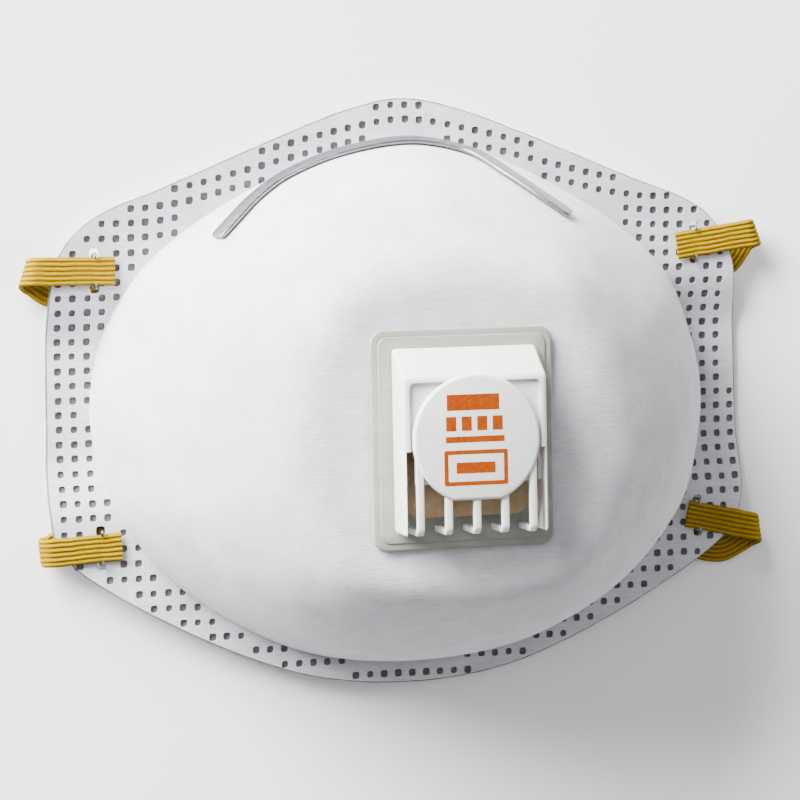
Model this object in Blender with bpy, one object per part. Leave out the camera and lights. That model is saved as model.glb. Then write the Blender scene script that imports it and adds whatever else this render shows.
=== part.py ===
"""Valved cup dust mask, lying on its rim with the cup upwards. Metres, +Z up, +Y towards the nose.

The origin is on the surface it lies on, under the middle of the rim. The four moulded layers follow one
surface, each at its own depth below it. The nose clip and the foam follow the same surface.
"""

import math

import bmesh
import bpy
import numpy as np
from mathutils import Vector

MM = 0.001
GAP = 0.3 * MM

# Rim and cup, right half of each outline from the nose round to the chin, in mm
RIM_OUTLINE = [(0, 56.5), (11, 54.4), (24, 49.6), (46, 40.6), (57.5, 36.2), (64, 31.5), (67.6, 25),
               (68.8, 15), (69.2, -5), (69.4, -21), (66.8, -29.5), (57, -37.2), (40, -46.6), (24, -53.2),
               (12, -55.9), (0, -56.7)]
CREASE_OUTLINE = [(0, 49), (13, 47), (24, 42.8), (39.5, 34.3), (51, 25), (57, 15.5), (60.6, 4), (60.8, -7),
                  (58, -18), (52.5, -28), (44, -37), (32, -45), (18, -50.6), (0, -52.6)]
AROUND = 64  # facets round the mask
CUP_HEIGHT = 46.5 * MM  # height of the flat under the valve
CREASE_STEP = 0.9 * MM  # the fold where the cup meets the rim
FOLD_TUCK = 0.55  # how far in a deeper layer's fold sits, as a share of its depth
FOLD_LEAD = 0.5 * MM  # every layer is still flat this far outside the fold
CUP_START = math.radians(15)  # where on its quarter ellipse the cup wall starts
CUP_RINGS = 7

# Height of the rim above the surface: flat at the cheeks, raised at the straps, the nose and the chin
CHEEK_FLAT = 9.6 * MM
STRAP_RISE, STRAP_RISE_RUN = 3.4 * MM, 14 * MM
NOSE_RISE, CHIN_RISE, END_RISE_RUN = 3.1 * MM, 0.2 * MM, 30 * MM

# The layers, each at its own depth below the outer surface
RIM_WEB = 0.5 * MM  # a web where it is pressed flat at the rim
RIM_TOP = 2 * RIM_WEB + GAP  # the two webs together
INNER_WEB_DEPTH = 3.5 * MM
FILTER_DEPTH, FILTER_THICK = 0.8 * MM, 1.0 * MM
SHELL_DEPTH, SHELL_THICK = 2.1 * MM, 1.1 * MM

# Valve
VALVE_Y = -6.0 * MM
SEAT_SIZE, SEAT_THICK, SEAT_CORNER = (34.4 * MM, 40.4 * MM), 1.2 * MM, 2.5 * MM
PLATEAU_MARGIN = 2.0 * MM
ORIFICE_R = 10.5 * MM
ORIFICE_RIB, ORIFICE_RIB_DROP = 1.2 * MM, 0.2 * MM  # the ribs across the orifice end just under the seal
CLAMP_SPAN = (1.6 * MM, 3.6 * MM)  # the bar under the flap's fixed end, from the orifice
FLAP_PAST_ORIFICE = 3.4 * MM
FLAP_STOP_WIDE = 1.2 * MM
OVERLAP = 0.5 * MM  # how far a shape that is joined to another reaches into it
SEAL_RING_HIGH, SEAL_RING_WIDE = 1.0 * MM, 1.0 * MM
SHELL_HOLE_R = 12.0 * MM
HINGE_INSET = 0.8 * MM
FLAP_SIZE, FLAP_THICK, FLAP_CORNER = (23.5 * MM, 28.0 * MM), 0.6 * MM, 3.0 * MM
COVER_SIZE, COVER_HIGH, COVER_CORNER = (27.0 * MM, 33.6 * MM), 8.3 * MM, 1.8 * MM
COVER_WALL = 1.2 * MM
DISC_R, DISC_HIGH = 11.9 * MM, 0.8 * MM
DISC_Y = 0.5 * MM  # the disc's middle above the cover's own middle
RIB_PITCH, RIB_WIDE, RIB_COUNT = 5.3 * MM, 1.3 * MM, 5
GAP_REACH = 0.72  # how far in the gaps between the ribs end, as a share of the disc's radius
SLOT_SIZE = (2.4 * MM, 15.0 * MM)

# Nose clip and foam along the cup: (angle round the mask in degrees, share of the way up the cup wall)
CLIP_ROUTE = [(141, 0.2), (135.4, 0.167), (130, 0.123), (125, 0.088), (121, 0.068), (117, 0.063),
              (109, 0.063), (99, 0.065), (88, 0.07), (80, 0.092), (75.5, 0.125), (72.5, 0.18), (70, 0.235),
              (66, 0.285), (60, 0.343), (53.3, 0.386)]
CLIP_WIDE, CLIP_THICK = 3.7 * MM, 0.8 * MM
FOAM_ROUTE = [(138, 0.20), (120, 0.16), (105, 0.15), (90, 0.15), (75, 0.15), (60, 0.16), (42, 0.20)]
FOAM_WIDE, FOAM_THICK = 9.0 * MM, 3.2 * MM
FOAM_DEPTH = 5.0 * MM

# Straps: a flat elastic band stapled to the rim at each end. Past the rim each end folds over a slanting line
# and comes back under the rim, and the free length lies inside the cup.
STRAP_WIDE, STRAP_THICK = 5.5 * MM, 0.9 * MM
STAPLE_X = 60.0 * MM
RETURN_Z = 1.45 * MM  # height of the band's middle where it lies under the rim
# for each end: y at the staple in mm, x of the cut end and of the fold, how far the run out to the fold
# climbs towards the nose and how far the fold's chin end leans outwards, both in degrees
STRAP_ENDS = {
    ("upper_strap", -1): (25.0, 56.2, 72.9, 1, 19),
    ("upper_strap", 1): (27.3, 56.2, 73.4, 8, 19),
    ("lower_strap", -1): (-27.8, 56.2, 71.4, -3, -5),
    ("lower_strap", 1): (-26.9, 57.6, 73.3, -13, 7),
}
# from the left fold to the right one in mm: under the rim, across the cup, and under the rim again
UPPER_ROUTE = [(-66.5, 20.6), (-57, 21.2), (-46, 23.6), (-40, 22.8), (-35, 19.5), (-30, 13.5), (-22.5, 12.5),
               (-18, 18), (-15.5, 25), (-9, 30), (-1.5, 27.5), (1.5, 20.5), (5, 13.5), (12, 10.5),
               (18.5, 14), (22, 20.5), (28, 24.5), (34, 22), (39.5, 22.5), (46, 24.2), (57, 23), (67, 22.8)]
LOWER_ROUTE = [(-66, -26.6), (-57, -25.8), (-46, -25.4), (-40, -24), (-35, -19.5), (-29.5, -14),
               (-23, -12), (-17, -16), (-14.5, -23.5), (-10, -30), (-3, -32), (3.5, -28.5), (6, -21),
               (10, -14), (17, -10.5), (24, -13.5), (28, -20), (33.5, -23.5), (39.5, -24.5), (46, -26.8),
               (56, -31), (65, -34.2)]
# in stretches of a route from either end: how long the band lies flat, and how long it takes to turn on edge
FLAT_STRETCHES, TWIST_STRETCHES = 3.67, 2.67
ROUTE_STEPS = 3
FOLD_STEPS = 8
STRAP_LIFT = 0.3 * MM  # the free stretch stands on its edge, just clear of the surface

STAPLE_WIRE = 0.5 * MM
STAPLE_LEG_Y = STRAP_WIDE / 2 + GAP + STAPLE_WIRE / 2  # the legs stand just outside the band's edges
STAPLE_TIP = 1.0 * MM  # how far each clenched tip reaches in over the band


def clear_scene():
    for old in list(bpy.data.objects):
        bpy.data.objects.remove(old, do_unlink=True)
    for old in list(bpy.data.collections):
        bpy.data.collections.remove(old)


def collection(name):
    made = bpy.data.collections.new(name)
    bpy.context.scene.collection.children.link(made)
    return made


def material(name, colour, roughness, metallic=0.0):
    made = bpy.data.materials.new(name)
    made.use_nodes = True
    shader = made.node_tree.nodes["Principled BSDF"]
    shader.inputs["Base Color"].default_value = (*colour, 1)
    shader.inputs["Roughness"].default_value = roughness
    shader.inputs["Metallic"].default_value = metallic
    return made


def add_object(name, mesh, group, finish=None):
    made = bpy.data.objects.new(name, mesh)
    group.objects.link(made)
    if finish:
        mesh.materials.append(finish)
    return made


def mesh_of(name, vertices, faces):
    mesh = bpy.data.meshes.new(name)
    mesh.from_pydata([tuple(v) for v in vertices], [], faces)
    bm = bmesh.new()
    bm.from_mesh(mesh)
    bmesh.ops.recalc_face_normals(bm, faces=bm.faces)
    bm.to_mesh(mesh)
    bm.free()
    return mesh


# ---------------------------------------------------------------- the mask's surface


def smooth(t):
    t = min(max(t, 0.0), 1.0)
    return t * t * (3 - 2 * t)


def rim_height(y):
    rise = NOSE_RISE if y > 0 else CHIN_RISE
    past = abs(y) - CHEEK_FLAT
    return (STRAP_RISE * smooth(past / STRAP_RISE_RUN)
            + rise * smooth((past - STRAP_RISE_RUN) / END_RISE_RUN))


def through(points, steps):
    """A smooth open curve through the points, with steps pieces between each two."""
    p = [Vector(q) for q in points]
    p = [2 * p[0] - p[1], *p, 2 * p[-1] - p[-2]]
    curve = []
    for i in range(1, len(p) - 2):
        a, b, c, d = p[i - 1:i + 3]
        for k in range(steps):
            t = k / steps
            curve.append(0.5 * (2 * b + (c - a) * t + (2 * a - 5 * b + 4 * c - d) * t**2
                                + (3 * b - a - 3 * c + d) * t**3))
    return [*curve, p[-2]]


def outline_radius(half):
    """The outline's distance from the origin as a function of the angle, from its right half in mm."""
    mirrored = [(-half[1][0], half[1][1]), *half, (-half[-2][0], half[-2][1])]
    curve = through([(x * MM, y * MM, 0) for x, y in mirrored], 8)
    curve = [q for q in curve if q.x > -1e-9]
    angles = [math.atan2(q.y, q.x) for q in curve][::-1]
    radii = [math.hypot(q.x, q.y) for q in curve][::-1]

    def radius(angle):
        x, y = abs(math.cos(angle)), math.sin(angle)
        return float(np.interp(math.atan2(y, x), angles, radii))

    return radius


rim_radius = outline_radius(RIM_OUTLINE)
crease_radius = outline_radius(CREASE_OUTLINE)


def rim_point(angle):
    r = rim_radius(angle)
    x, y = r * math.cos(angle), r * math.sin(angle)
    return Vector((x, y, rim_height(y) + RIM_TOP))


def crease_point(angle):
    r = crease_radius(angle)
    x, y = r * math.cos(angle), r * math.sin(angle)
    return Vector((x, y, rim_height(y) + RIM_TOP))


def plateau_point(angle):
    """The edge of the flat under the valve, a rounded rectangle as a superellipse."""
    a, b = (side / 2 + PLATEAU_MARGIN for side in SEAT_SIZE)
    c, s = math.cos(angle), math.sin(angle)
    r = (abs(c / a)**6 + abs(s / b)**6)**(-1 / 6)
    return Vector((r * c, VALVE_Y + r * s, CUP_HEIGHT))


def hole_point(angle):
    return Vector((SHELL_HOLE_R * math.cos(angle), VALVE_Y + SHELL_HOLE_R * math.sin(angle), CUP_HEIGHT))


def cup_point(angle, share):
    """On the cup wall: share 0 is the crease, 1 the edge of the flat under the valve."""
    turn = CUP_START + (math.pi / 2 - CUP_START) * share
    out = math.cos(turn) / math.cos(CUP_START)
    up = (math.sin(turn) - math.sin(CUP_START)) / (1 - math.sin(CUP_START))
    low, top = crease_point(angle), plateau_point(angle)
    low.z += CREASE_STEP
    x, y = top.x + (low.x - top.x) * out, top.y + (low.y - top.y) * out
    return Vector((x, y, low.z + (top.z - low.z) * up))


def cup_normal(angle, share):
    step = 0.01
    a = cup_point(angle + step, share) - cup_point(angle - step, share)
    b = cup_point(angle, min(share + step, 1)) - cup_point(angle, max(share - step, 0))
    return a.cross(b).normalized()


# ---------------------------------------------------------------- shapes


def tube_of_rings(name, rings):
    """A closed body from rings of points that run round it and come back to the first."""
    count, around = len(rings), len(rings[0])
    faces = [
        (i * around + j, i * around + (j + 1) % around,
         (i + 1) % count * around + (j + 1) % around, (i + 1) % count * around + j)
        for i in range(count) for j in range(around)
    ]
    return mesh_of(name, [q for ring in rings for q in ring], faces)


def layer(name, depth, thick, over_rim, group, finish):
    """One moulded layer of the cup, between depth and depth + thick below the outer surface."""
    angles = [2 * math.pi * (j + 0.5) / AROUND for j in range(AROUND)]
    shares = [k / CUP_RINGS for k in range(0 if over_rim else 1, CUP_RINGS + 1)]

    def face(below, rim_below):
        rings = []
        if over_rim:
            rings.append([rim_point(a) - Vector((0, 0, rim_below)) for a in angles])
            middle = [(rim_point(a) + crease_point(a)) / 2 for a in angles]
            rings.append([Vector((q.x, q.y, rim_height(q.y) + RIM_TOP - rim_below)) for q in middle])
            for inward in (1 + FOLD_LEAD / crease_radius(0), 1 - FOLD_TUCK * below / crease_radius(0)):
                fold = [crease_point(a) * inward for a in angles]
                rings.append([Vector((q.x, q.y, rim_height(q.y) + RIM_TOP - rim_below)) for q in fold])
        for share in shares:
            sink = below
            if share == 0:
                sink = max(below * 0.75, rim_below)
            rings.append([cup_point(a, share) - cup_normal(a, share) * sink for a in angles])
        rings.append([hole_point(a) - Vector((0, 0, below)) for a in angles])
        return rings

    rim_depth = depth if depth < RIM_WEB else RIM_WEB + GAP
    outer = face(depth, rim_depth)
    inner = face(depth + thick, rim_depth + RIM_WEB)
    return add_object(name, tube_of_rings(name, outer + inner[::-1]), group, finish)


def ribbon(name, centres, sides, ups, wide, thick, group, finish):
    """A flat band: wide along sides and thick along ups at each centre, closed at both ends."""
    vertices, faces = [], []
    for c, s, u in zip(centres, sides, ups):
        for x, z in ((-1, -1), (1, -1), (1, 1), (-1, 1)):
            vertices.append(c + s * (x * wide / 2) + u * (z * thick / 2))
    last = len(centres) - 1
    for i in range(last):
        for j in range(4):
            faces.append((4 * i + j, 4 * i + (j + 1) % 4, 4 * i + 4 + (j + 1) % 4, 4 * i + 4 + j))
    faces += [(3, 2, 1, 0), tuple(4 * last + j for j in range(4))]
    return add_object(name, mesh_of(name, vertices, faces), group, finish)


def band_on_cup(name, route, depth, wide, thick, steps, group, finish):
    """A flat band that follows the cup, its outer face depth below the surface."""
    curve = through([(a, s * 100, 0) for a, s in route], steps)
    spots = [(math.radians(q.x), q.y / 100) for q in curve]
    normals = [cup_normal(a, s) for a, s in spots]
    centres = [cup_point(a, s) - n * (depth + thick / 2) for (a, s), n in zip(spots, normals)]
    sides = []
    for i, n in enumerate(normals):
        along = centres[min(i + 1, len(centres) - 1)] - centres[max(i - 1, 0)]
        sides.append(n.cross(along).normalized())
    return ribbon(name, centres, sides, normals, wide, thick, group, finish)


def rounded_plate(name, size, corner, low, high, segments, group, finish=None):
    """An upright slab with rounded corners, centred on the valve."""
    curve = bpy.data.curves.new(name, "CURVE")
    curve.dimensions = "2D"
    curve.fill_mode = "BOTH"
    curve.extrude = (high - low) / 2
    spline = curve.splines.new("POLY")
    points = []
    for quarter in range(4):
        mid = math.pi / 2 * quarter
        sx = 1 if quarter in (0, 3) else -1
        sy = 1 if quarter in (0, 1) else -1
        cx, cy = sx * (size[0] / 2 - corner), sy * (size[1] / 2 - corner)
        for k in range(segments + 1):
            a = mid + math.pi / 2 * k / segments
            points.append((cx + corner * math.cos(a), cy + corner * math.sin(a)))
    spline.points.add(len(points) - 1)
    for p, (x, y) in zip(spline.points, points):
        p.co = (x, y, 0, 1)
    spline.use_cyclic_u = True
    holder = bpy.data.objects.new(name + "_outline", curve)
    bpy.context.scene.collection.objects.link(holder)
    mesh = bpy.data.meshes.new_from_object(holder.evaluated_get(bpy.context.evaluated_depsgraph_get()))
    bpy.data.objects.remove(holder)
    bm = bmesh.new()
    bm.from_mesh(mesh)
    bmesh.ops.remove_doubles(bm, verts=bm.verts, dist=1e-6)
    bmesh.ops.translate(bm, verts=bm.verts, vec=(0, VALVE_Y, (low + high) / 2))
    bm.to_mesh(mesh)
    bm.free()
    mesh.name = name
    return add_object(name, mesh, group, finish)


def box(name, low, high, group, finish=None):
    bm = bmesh.new()
    bmesh.ops.create_cube(bm, size=1)
    low, high = Vector(low), Vector(high)
    for v in bm.verts:
        v.co = Vector([m + c * s for m, c, s in zip((low + high) / 2, v.co, high - low)])
    mesh = bpy.data.meshes.new(name)
    bm.to_mesh(mesh)
    bm.free()
    return add_object(name, mesh, group, finish)


def cylinder(name, radius, centre, low, high, sides, group, finish=None):
    bm = bmesh.new()
    bmesh.ops.create_cone(bm, cap_ends=True, segments=sides, radius1=radius, radius2=radius,
                          depth=high - low)
    bmesh.ops.translate(bm, verts=bm.verts, vec=(centre[0], centre[1], (low + high) / 2))
    mesh = bpy.data.meshes.new(name)
    bm.to_mesh(mesh)
    bm.free()
    return add_object(name, mesh, group, finish)


def combine(target, tool, operation):
    tool.hide_render = True
    tool.display_type = "WIRE"
    made = target.modifiers.new(operation.title() + "_" + tool.name, "BOOLEAN")
    made.operation = operation
    made.solver = "EXACT"
    made.object = tool


# ---------------------------------------------------------------- the mask's pieces


def make_layers(group):
    white = material("white_nonwoven", (0.86, 0.86, 0.88), 0.9)
    media = material("filter_media", (0.90, 0.90, 0.92), 0.95)
    stiff = material("moulded_polyester", (0.84, 0.84, 0.84), 0.85)
    outer = layer("outer_cover_web", 0.0, RIM_WEB, True, group, white)
    layer("filter_media", FILTER_DEPTH, FILTER_THICK, False, group, media)
    layer("moulded_shell", SHELL_DEPTH, SHELL_THICK, False, group, stiff)
    inner = layer("inner_face_web", INNER_WEB_DEPTH, RIM_WEB, True, group, white)
    return outer, inner


def make_nose_pieces(group):
    metal = material("aluminium_strip", (0.72, 0.73, 0.75), 0.35, 1.0)
    foam = material("grey_foam", (0.80, 0.80, 0.78), 0.95)
    band_on_cup("nose_clip", CLIP_ROUTE, -GAP - CLIP_THICK, CLIP_WIDE, CLIP_THICK, 4, group, metal)
    band_on_cup("nose_foam", FOAM_ROUTE, FOAM_DEPTH, FOAM_WIDE, FOAM_THICK, 5, group, foam)


def strap_top(y):
    """Height of the band's middle where it lies on the rim."""
    return rim_height(y) + RIM_TOP + GAP + STRAP_THICK / 2


def strap_end(strap, hand):
    """One end from its cut to the end of its fold: centres, width directions and thickness directions."""
    row, cut_x, fold_x, climb, lean = STRAP_ENDS[strap, hand]
    row, cut_x, fold_x = row * MM, cut_x * MM, fold_x * MM
    climb, lean = math.radians(climb), math.radians(lean)
    outward = Vector((hand * math.cos(climb), math.sin(climb), 0))
    across = Vector((-outward.y, outward.x, 0)) * hand
    normal = Vector((hand * math.cos(lean), math.sin(lean), 0))  # square to the fold's line
    line = Vector((hand * math.sin(lean), -math.cos(lean), 0))
    top = strap_top(row)
    turn_r = (top - RETURN_Z) / 2
    spots = []
    staple = Vector((hand * STAPLE_X, row, top))
    for x in (cut_x, STAPLE_X, (STAPLE_X + fold_x - turn_r) / 2):
        spots.append((staple + outward * (x - STAPLE_X), across, Vector((0, 0, 1))))
    start = staple + outward * (fold_x - turn_r - STAPLE_X)
    square, slide = outward.dot(normal), outward.dot(line)
    for k in range(FOLD_STEPS + 1):
        a = math.pi * k / FOLD_STEPS
        up = normal * math.sin(a) + Vector((0, 0, 1)) * math.cos(a)
        round_it = normal * (turn_r * math.sin(a)) + Vector((0, 0, turn_r * (math.cos(a) - 1)))
        along = (normal * math.cos(a) - Vector((0, 0, 1)) * math.sin(a)) * square + line * slide
        spots.append((start + round_it + line * (turn_r * a * slide / square), up.cross(along) * hand, up))
    return spots


def strap_path(strap, free_route):
    """The whole strap from its left end to its right: centres, width directions and thickness directions."""
    left, right = strap_end(strap, -1), strap_end(strap, 1)
    folds = [[(end[-1][0].x / MM, end[-1][0].y / MM)] for end in (left, right)]
    route = folds[0] + free_route + folds[1]
    free = through([(x * MM, y * MM, 0) for x, y in route], ROUTE_STEPS)
    stand = STRAP_WIDE / 2 + STRAP_LIFT
    spots = list(left)
    for i, q in enumerate(free[1:-1], 1):
        from_end = min(i, len(free) - 1 - i) / ROUTE_STEPS
        twist = smooth((from_end - FLAT_STRETCHES) / TWIST_STRETCHES)
        along = (free[i + 1] - free[i - 1]).normalized()
        across = Vector((-along.y, along.x, 0))
        angle = math.pi / 2 * twist
        side = across * math.cos(angle) + Vector((0, 0, 1)) * math.sin(angle)
        up = across * math.sin(angle) - Vector((0, 0, 1)) * math.cos(angle)
        z = max(RETURN_Z + (stand - RETURN_Z) * twist, math.sin(angle) * STRAP_WIDE / 2 + STRAP_LIFT
                + math.cos(angle) * STRAP_THICK / 2)
        spots.append((Vector((q.x, q.y, z)), side, up))
    return [list(column) for column in zip(*spots, *right[::-1])]


def make_straps(group):
    yellow = material("yellow_elastic", (0.80, 0.62, 0.12), 0.8)
    for name, route in (("upper_strap", UPPER_ROUTE), ("lower_strap", LOWER_ROUTE)):
        centres, sides, ups = strap_path(name, route)
        ribbon(name, centres, sides, ups, STRAP_WIDE, STRAP_THICK, group, yellow)


def make_staples(group, cutters, webs):
    """A wire staple at each strap end: crown under the rim, legs up through both webs, tips over the band."""
    steel = material("staple_steel", (0.55, 0.56, 0.58), 0.3, 1.0)
    half = STAPLE_WIRE / 2
    for (strap, hand), end in STRAP_ENDS.items():
        row, x = end[0] * MM, hand * STAPLE_X
        name = f"staple_{strap.split('_')[0]}_{'left' if hand < 0 else 'right'}"
        crown_top = min(rim_height(row - STAPLE_LEG_Y), rim_height(row + STAPLE_LEG_Y)) - GAP
        tip_low = strap_top(row) + STRAP_THICK / 2 + GAP
        crown = box(name, (x - half, row - STAPLE_LEG_Y - half, crown_top - STAPLE_WIRE),
                    (x + half, row + STAPLE_LEG_Y + half, crown_top), group, steel)
        for side in (-1, 1):
            y = row + side * STAPLE_LEG_Y
            leg = box(f"{name}_leg_{side}", (x - half, y - half, crown_top - STAPLE_WIRE),
                      (x + half, y + half, tip_low + STAPLE_WIRE), cutters)
            combine(crown, leg, "UNION")
            tip_ys = sorted((y + side * half, y - side * STAPLE_TIP))
            tip = box(f"{name}_tip_{side}", (x - half, tip_ys[0], tip_low),
                      (x + half, tip_ys[1], tip_low + STAPLE_WIRE), cutters)
            combine(crown, tip, "UNION")
            reach = half + GAP
            hole = box(f"{name}_hole_{side}", (x - reach, y - reach, rim_height(y) - MM),
                       (x + reach, y + reach, rim_height(y) + RIM_TOP + MM), cutters)
            for web in webs:
                combine(web, hole, "DIFFERENCE")


def make_valve(group, cutters):
    plastic = material("white_valve_plastic", (0.88, 0.88, 0.84), 0.35)
    clear = material("valve_seat_plastic", (0.68, 0.70, 0.66), 0.3)
    rubber = material("tan_rubber", (0.55, 0.42, 0.25), 0.6)
    low = CUP_HEIGHT + GAP
    top = low + SEAT_THICK
    seal_top = top + SEAL_RING_HIGH

    seat = rounded_plate("valve_seat", SEAT_SIZE, SEAT_CORNER, low, top, 4, group, clear)
    sunk = top - OVERLAP
    ring = cylinder("seal_ring", ORIFICE_R + SEAL_RING_WIDE, (0, VALVE_Y), sunk, seal_top, 32, cutters)
    orifice_end = VALVE_Y + ORIFICE_R
    clamp = box("flap_clamp_bar", (-FLAP_SIZE[0] / 2, orifice_end + CLAMP_SPAN[0], sunk),
                (FLAP_SIZE[0] / 2, orifice_end + CLAMP_SPAN[1], seal_top), cutters)
    bore = cylinder("orifice", ORIFICE_R, (0, VALVE_Y), low - MM, seal_top + MM, 32, cutters)
    combine(seat, ring, "UNION")
    combine(seat, clamp, "UNION")
    combine(seat, bore, "DIFFERENCE")
    reach, rib_half, rib_top = ORIFICE_R + OVERLAP, ORIFICE_RIB / 2, seal_top - ORIFICE_RIB_DROP
    for name, half_x, half_y in (("rib_across", reach, rib_half), ("rib_along", rib_half, reach)):
        rib = box(name, (-half_x, VALVE_Y - half_y, low), (half_x, VALVE_Y + half_y, rib_top), cutters)
        combine(seat, rib, "UNION")

    flap_low = seal_top + GAP
    flap_y = orifice_end + FLAP_PAST_ORIFICE - FLAP_SIZE[1] / 2
    flap = rounded_plate("valve_flap", FLAP_SIZE, FLAP_CORNER, flap_low, flap_low + FLAP_THICK, 4, group,
                         rubber)
    hinge = Vector((0, flap_y + FLAP_SIZE[1] / 2 - HINGE_INSET, flap_low + FLAP_THICK / 2))
    shift = Vector((0, flap_y - VALVE_Y, 0))
    for v in flap.data.vertices:
        v.co = v.co + shift - hinge
    flap.location = hinge

    cover_low = top + GAP
    cover_top = cover_low + COVER_HIGH
    cover = rounded_plate("valve_cover", COVER_SIZE, COVER_CORNER, cover_low, cover_top, 4, group, plastic)
    inside = (COVER_SIZE[0] - 2 * COVER_WALL, COVER_SIZE[1] - 2 * COVER_WALL)
    roof = cover_top - COVER_WALL
    cavity = rounded_plate("cover_cavity", inside, COVER_CORNER / 2, cover_low - MM, roof, 4, cutters)
    combine(cover, cavity, "DIFFERENCE")
    gap_wide = RIB_PITCH - RIB_WIDE
    gap_top = VALVE_Y - DISC_R * GAP_REACH
    chin_end = VALVE_Y - COVER_SIZE[1] / 2
    for k in range(RIB_COUNT - 1):
        x = (k - (RIB_COUNT - 2) / 2) * RIB_PITCH
        slot = box(f"lower_gap_{k}", (x - gap_wide / 2, chin_end - MM, cover_low - MM),
                   (x + gap_wide / 2, gap_top, cover_top + MM), cutters)
        combine(cover, slot, "DIFFERENCE")
    for hand in (-1, 1):
        x = hand * (COVER_SIZE[0] / 2 - COVER_WALL - SLOT_SIZE[0] / 2)
        slot = box(f"side_slot_{hand}", (x - SLOT_SIZE[0] / 2, chin_end + COVER_WALL, roof - COVER_WALL),
                   (x + SLOT_SIZE[0] / 2, chin_end + COVER_WALL + SLOT_SIZE[1], cover_top + MM), cutters)
        combine(cover, slot, "DIFFERENCE")
    disc_low = cover_top - COVER_WALL / 2
    disc = cylinder("cover_disc", DISC_R, (0, VALVE_Y + DISC_Y), disc_low, cover_top + DISC_HIGH, 36, cutters)
    combine(cover, disc, "UNION")
    stop = box("flap_stop", (-FLAP_SIZE[0] / 2, hinge.y + GAP, flap_low + FLAP_THICK + GAP),
               (FLAP_SIZE[0] / 2, hinge.y + FLAP_STOP_WIDE, disc_low), cutters)
    combine(cover, stop, "UNION")


def main():
    clear_scene()
    mask = collection("dust_mask")
    cutters = collection("cutters")
    webs = make_layers(mask)
    make_nose_pieces(mask)
    make_straps(mask)
    make_staples(mask, cutters, webs)
    make_valve(mask, cutters)


main()
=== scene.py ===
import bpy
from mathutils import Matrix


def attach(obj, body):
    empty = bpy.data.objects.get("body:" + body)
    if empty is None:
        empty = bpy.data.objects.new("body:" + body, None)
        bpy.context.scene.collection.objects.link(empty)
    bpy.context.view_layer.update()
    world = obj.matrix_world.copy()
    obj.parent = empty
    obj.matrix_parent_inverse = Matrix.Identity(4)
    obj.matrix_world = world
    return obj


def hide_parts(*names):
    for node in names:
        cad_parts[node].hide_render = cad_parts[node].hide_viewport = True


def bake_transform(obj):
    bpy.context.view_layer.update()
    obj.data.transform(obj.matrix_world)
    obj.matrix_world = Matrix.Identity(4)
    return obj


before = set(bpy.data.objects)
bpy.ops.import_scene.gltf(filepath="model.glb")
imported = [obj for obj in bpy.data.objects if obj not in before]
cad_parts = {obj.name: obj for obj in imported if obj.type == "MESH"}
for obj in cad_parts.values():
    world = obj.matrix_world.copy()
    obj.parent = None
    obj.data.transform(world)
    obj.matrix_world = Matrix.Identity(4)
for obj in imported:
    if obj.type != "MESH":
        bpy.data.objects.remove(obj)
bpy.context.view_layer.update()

import math
import random

import bmesh
import bpy
import numpy as np
from mathutils import Matrix, Vector

MM = 0.001
GAP = 0.3 * MM
MASK, FLAP = "mask_body", "exhalation_flap"

# ---------------------------------------------------------------- the camera

CAMERA_TURN, CAMERA_TILT, CAMERA_ROLL = (math.radians(a) for a in (14.5, 4.0, 1.15))
CAMERA_DISTANCE = 0.70
FRAME_WIDTH = 0.1565  # what the picture's width takes in at the origin's distance
FRAME_OFFSET = (0.0006, -0.0020)  # the picture's middle from the origin, right and up
SENSOR = 36.0


def make_camera():
    toward = Vector((-math.sin(CAMERA_TURN) * math.cos(CAMERA_TILT), math.sin(CAMERA_TILT),
                     math.cos(CAMERA_TURN) * math.cos(CAMERA_TILT)))
    right = Vector((0, 1, 0)).cross(toward).normalized()
    up = toward.cross(right)
    c, s = math.cos(CAMERA_ROLL), math.sin(CAMERA_ROLL)
    right, up = right * c - up * s, right * s + up * c
    data = bpy.data.cameras.new("camera")
    data.sensor_width = SENSOR
    data.lens = SENSOR * CAMERA_DISTANCE / FRAME_WIDTH
    data.clip_end = 20
    camera = bpy.data.objects.new("camera", data)
    bpy.context.scene.collection.objects.link(camera)
    camera.matrix_world = Matrix.Translation(
        toward * CAMERA_DISTANCE + right * FRAME_OFFSET[0] + up * FRAME_OFFSET[1]
    ) @ Matrix((right, up, toward)).transposed().to_4x4()
    bpy.context.scene.camera = camera


# ---------------------------------------------------------------- the mask's surface, as in the CAD

RIM_OUTLINE = [(0, 56.5), (11, 54.4), (24, 49.6), (46, 40.6), (57.5, 36.2), (64, 31.5), (67.6, 25),
               (68.8, 15), (69.2, -5), (69.4, -21), (66.8, -29.5), (57, -37.2), (40, -46.6), (24, -53.2),
               (12, -55.9), (0, -56.7)]
CREASE_OUTLINE = [(0, 49), (13, 47), (24, 42.8), (39.5, 34.3), (51, 25), (57, 15.5), (60.6, 4), (60.8, -7),
                  (58, -18), (52.5, -28), (44, -37), (32, -45), (18, -50.6), (0, -52.6)]
CUP_HEIGHT = 46.5 * MM
CREASE_STEP = 0.9 * MM
CUP_START = math.radians(15)
CHEEK_FLAT = 9.6 * MM
STRAP_RISE, STRAP_RISE_RUN = 3.4 * MM, 14 * MM
NOSE_RISE, CHIN_RISE, END_RISE_RUN = 3.1 * MM, 0.2 * MM, 30 * MM
RIM_WEB = 0.5 * MM
RIM_TOP = 2 * RIM_WEB + GAP
INNER_WEB_DEPTH = 3.5 * MM
VALVE_Y = -6.0 * MM
SEAT_SIZE, SEAT_THICK, SEAT_CORNER = (34.4 * MM, 40.4 * MM), 1.2 * MM, 2.5 * MM
PLATEAU_MARGIN = 2.0 * MM
SHELL_HOLE_R = 12.0 * MM


def smooth(t):
    t = min(max(t, 0.0), 1.0)
    return t * t * (3 - 2 * t)


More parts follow.
